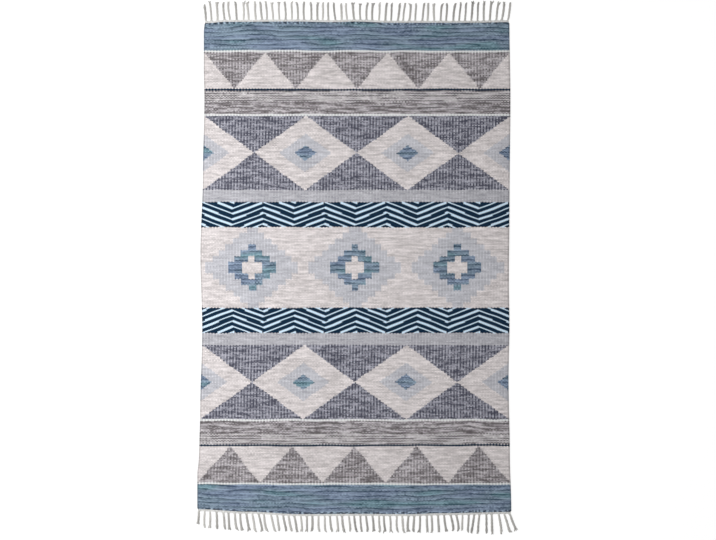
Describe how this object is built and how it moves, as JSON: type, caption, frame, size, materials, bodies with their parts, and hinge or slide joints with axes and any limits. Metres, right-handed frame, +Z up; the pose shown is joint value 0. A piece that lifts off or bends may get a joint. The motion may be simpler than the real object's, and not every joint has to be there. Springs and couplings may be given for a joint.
{
  "type": "kilim rug",
  "caption": "Flat-woven rectangular kilim with slightly uneven edges and a short fringe of knotted warp tassels at both ends.",
  "frame": {"origin": "on the floor under the middle of the woven rectangle", "axes": "+Z up, +Y along the warps to the upper end of the picture, +X across the rug to the picture's right"},
  "size_m": [1.0392, 1.7283, 0.0075],
  "materials": {
    "weave": "matte flat-woven wool and cotton in blues, greys, taupe and cream",
    "warp_cotton": "matte undyed cotton cord"
  },
  "bodies": {
    "root": {"kilim_cloth": "weave", "fringe_upper_end": "warp_cotton", "fringe_lower_end": "warp_cotton"}
  },
  "joints": []
}
